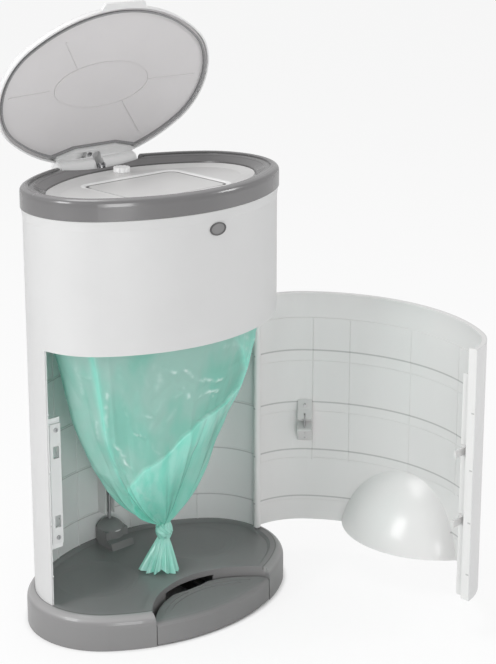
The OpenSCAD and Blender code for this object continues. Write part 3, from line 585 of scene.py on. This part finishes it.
def hanging_film(finish):
    """The bag from the film ring down to its neck, with its folds, layers and creases, and painted glints
    along the creases.
    """
    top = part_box("bag")[1].z - 0.001
    wide, rear, front = 0.178, 0.091, 0.116  # half width and half depths above the mouth
    mouth, neck = 0.430, 0.117  # heights where the film starts to gather and where it ends
    doubled_fold = -2.66  # angle of the fold where two layers lie together
    pleat_count, crease_parts = 13, 12
    layers, glints = [], []

    def outline(t, u):
        """The smooth bag: its place, half width, half depth and how far it is gathered."""
        gather = 0.70 * t + 0.30 * t ** 6
        a = wide * (1 - gather) + 0.0085 * t
        b = (rear if u > 0 else front) * (1 - gather) + 0.0075 * t
        return Vector((a * math.cos(u), b * math.sin(u), mouth - t * (mouth - neck))), a, b, gather

    def between(a, b, k):
        return a + (b - a) * k / crease_parts

    steps = [(outline(between(v, w, k), wrapped(between(m, n, k)))[0], sharp, width)
             for path, sharp, width in CREASES
             for (v, m), (w, n) in zip(path, path[1:]) for k in range(crease_parts + 1)]
    creases = kdtree.KDTree(len(steps))
    for k, step in enumerate(steps):
        creases.insert(step[0], k)
    creases.balance()

    def point(down, round_share):
        down = 1 - (1 - down) ** 1.25  # rows lie closer together towards the neck
        z = top + (neck - top) * down
        t = max(0.0, (mouth - z) / (mouth - neck))
        u = round_share * 2 * math.pi - math.pi
        straight, a, b, gather = outline(t, u)
        straight.z = z
        loose = (1 - gather) ** 0.5
        swell = 0.0
        for path, width, height in RIDGES:
            off = abs(wrapped(u - along(path, t))) / width
            swell += height * (0.4 + 0.9 * t) * math.exp(-off ** 1.3) * loose
        for path, width, height in VALLEYS:
            off = abs(wrapped(u - along(path, t))) / width
            swell -= height * max(0.0, t - path[0][0]) * 1.6 * math.exp(-off ** 1.3) * loose
        cover = lapped(t, u) * min(1.0, max(0.0, t * 5))
        layers.append(max(cover, 0.8 * math.exp(-(wrapped(u - doubled_fold) / 0.05) ** 2), t ** 3))
        swell += 0.0060 * cover * loose
        k, gap = creases.find(straight)[1:]
        sharp, width = steps[k][1:]
        ragged = abs(gap + 0.0022 * noise.noise(straight * 170))
        broken = max(0.0, min(1.0, 0.5 + 1.3 * noise.noise(straight * 110 + Vector((5, 2, 7)))))
        # painted glint: how pale the film is painted here along a crease
        painted_glint = sharp ** 2.2 * broken * math.exp(-(ragged / width) ** 2)
        glints.append(painted_glint)
        # the painted glint's strength also raises the film a little along the crease
        swell += 0.0020 * painted_glint + 0.0022 * sharp * math.exp(-(gap / (4.5 * width)) ** 2)
        pleat = math.sin(pleat_count * u + 2.2 * math.sin(2 * u) + 3.0 * t) * 0.5 + 0.5
        pleats = (0.5 - pleat ** 0.7) * 0.42 * min(a, b) * max(0.0, (t - 0.5) / 0.5) ** 1.4
        soft = crumple(straight + Vector((3.1, 0.4, 0)), 13) - 0.5
        lazy = noise.noise(straight * 8)
        slack = max(0.15, min(1.0, (top - z) / 0.12)) * (1 - 0.75 * gather)
        push = swell + pleats + slack * (0.0016 * soft + 0.0070 * lazy)
        out = Vector((math.cos(u) * b, math.sin(u) * a, 0)).normalized()
        p = straight + out * push
        p.x += 0.002 * gather - 0.012 * math.sin(math.pi * min(1.0, t) ** 1.5)
        p.y += -0.008 * gather
        p.z -= 0.005 * noise.noise(straight * 9) * (1 - gather) * min(1.0, (top - z) / 0.05)
        return p

    return layered(skin("film_bag", 220, 560, point, finish), layers, glints)


def film_knot(finish):
    """The film tied over itself just above the tail."""
    centre = Vector((0.003, -0.010, 0.106))

    def core(down, round_share):
        u = round_share * 2 * math.pi
        z = 0.013 - 0.026 * down
        body = 0.0082 + 0.0030 * math.sin(math.pi * down)
        crease = 1 + 0.16 * math.sin(9 * u + 5 * down + math.sin(3 * u))
        return centre + Vector((body * crease * math.cos(u), body * crease * math.sin(u), z))

    def loop(down, round_share):
        v, u = down * 2 * math.pi, round_share * 2 * math.pi
        ring = Vector((math.cos(u), math.sin(u), 0))
        thick = 0.0048 * (1 + 0.25 * math.sin(2 * u + 0.6))
        ruffle = 1 + 0.20 * math.sin(6 * v + 3 * u) + 0.08 * math.sin(11 * v - 2 * u)
        p = ring * (0.0088 + thick * ruffle * math.cos(v))
        p.z += thick * 1.35 * ruffle * math.sin(v)
        tilt = Matrix.Rotation(math.radians(28), 3, Vector((0.6, 0.8, 0)))
        return centre + tilt @ p

    return [skin("knot_core", 26, 72, core, finish), skin("knot_loop", 44, 96, loop, finish)]


def film_tail(finish):
    """The gathered end below the knot, flared and ruffled, with its tips on the base."""
    start = Vector((0.002, -0.010, 0.097))
    end = Vector((-0.014, -0.018, 0.0485))
    across, forward = (0.738, -0.674), (-0.4, -0.8)  # the tail's wide and thin ways in plan
    lowest = 0.0472  # where the tips rest on the base

    def point(down, round_share):
        u = round_share * 2 * math.pi
        open_up = down ** 0.85
        ruffle = math.sin(15 * u + 1.6 * math.sin(2 * u)) * 0.5 + 0.35 * math.sin(23 * u + 2)
        a = 0.0062 + 0.0205 * open_up
        b = 0.0058 + 0.0075 * open_up
        swing = 1 + 0.26 * ruffle * (0.3 + 0.7 * down)
        side, front = a * swing * math.cos(u), b * (1 + 0.5 * ruffle * down) * math.sin(u)
        c = start.lerp(end, down)
        hem = 0.004 * down * (math.sin(5 * u) + 0.6 * math.sin(9 * u + 1))
        x = c.x + side * across[0] + front * forward[0]
        y = c.y + side * across[1] + front * forward[1]
        return Vector((x, y, max(lowest, c.z + hem * 0.6 + 0.001)))

    return skin("film_tail", 60, 260, point, finish)


def main():
    """The room, the finishes of the bin's parts, and the film bag."""
    make_camera()
    make_room()

    shell_white = lined("shell_white_plastic", (0.64, 0.64, 0.64), 0.30, wall_painted_light_and_shade,
                        grain=0.12, grain_scale=1100, wave=0.10)
    white = moulded("white_lid_plastic", (0.78, 0.78, 0.78), 0.32,
                    grain=0.12, grain_scale=1000, wave=0.10)
    knob_white = moulded("knob_white_plastic", (0.97, 0.97, 0.97), 0.28,
                         grain=0.12, grain_scale=1000, wave=0.10)
    inner_white = moulded("white_inner_plastic", (0.68, 0.675, 0.67), 0.40, grain=0.22, grain_scale=800)
    grey = moulded("grey_plastic", GREY, 0.36, grain=0.40, grain_scale=700)
    ring_grey = lined("ring_grey_plastic", RING_GREY, 0.18, ring_painted_shade_and_highlight,
                      coat=0.6, grain=0.12, grain_scale=700)
    base_grey = lined("base_grey_plastic", GREY, 0.34, base_painted_highlight_and_shade,
                      coat=0.3, grain=0.30, grain_scale=700)
    housing_grey = lined("housing_grey_plastic", GREY, 0.34, housing_painted_highlights, grain=0.30, grain_scale=700)
    badge_grey = lined("badge_grey_plastic", GREY, 0.34, badge_marks, grain=0.30, grain_scale=700)
    tray_white = lined("tray_white_plastic", (0.70, 0.695, 0.69), 0.30, tray_painted_shade_and_highlight,
                       coat=0.3, grain=0.10, grain_scale=900)
    door_white = lined("door_white_plastic", (0.66, 0.66, 0.66), 0.24, door_painted_light_and_shade,
                       coat=0.3, grain=0.10, grain_scale=900)
    lid_grey = moulded("lid_panel_plastic", (0.66, 0.645, 0.65), 0.36, grain=0.25, grain_scale=800)
    dark = moulded("dark_lever_plastic", (0.07, 0.07, 0.07), 0.5, grain=0.4, grain_scale=600)
    seal = rubber("seal_rubber", (0.27, 0.27, 0.275))
    pads = rubber("pad_rubber", (0.03, 0.03, 0.03))
    metal = steel("drawn_steel")
    mint = film("mint_film")

    worn_by = {
        shell_white: ("body_shell",),
        white: ("lid_shell", "lid_arm", "strike_plate"),
        knob_white: ("lock_knob",),
        inner_white: ("door_latches", "rod_guide", "lock_cam", "cutter_housing"),
        door_white: ("door_panel",),
        tray_white: ("inlet_tray", "trap_flap"),
        grey: ("pedal_tread", "hinge_ears"),
        ring_grey: ("top_ring",),
        base_grey: ("base",),
        housing_grey: ("rod_housing",),
        badge_grey: ("front_badge",),
        lid_grey: ("lid_panel", "film_ring"),
        dark: ("pedal_lever",),
        seal: ("lid_seal",),
        pads: ("base_pads",),
        metal: ("pedal_pin", "strike_screws", "door_pins", "lid_pin", "lid_crank", "arm_screw",
                "push_rod", "cutter_blade", "cutter_screws"),
    }
    for finish, names in worn_by.items():
        for name in names:
            nodes[name].data.materials.clear()
            nodes[name].data.materials.append(finish.material)

    bag = hanging_film(mint.material)
    pieces = [bag, *(gathered(piece) for piece in (*film_knot(mint.material), film_tail(mint.material)))]
    for piece in pieces:
        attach(piece, "casing")
    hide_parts("bag")
    # the sheet as drawn is about 0.92 by 0.47 m, which is more than this call says
    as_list(pieces[1:])


main()
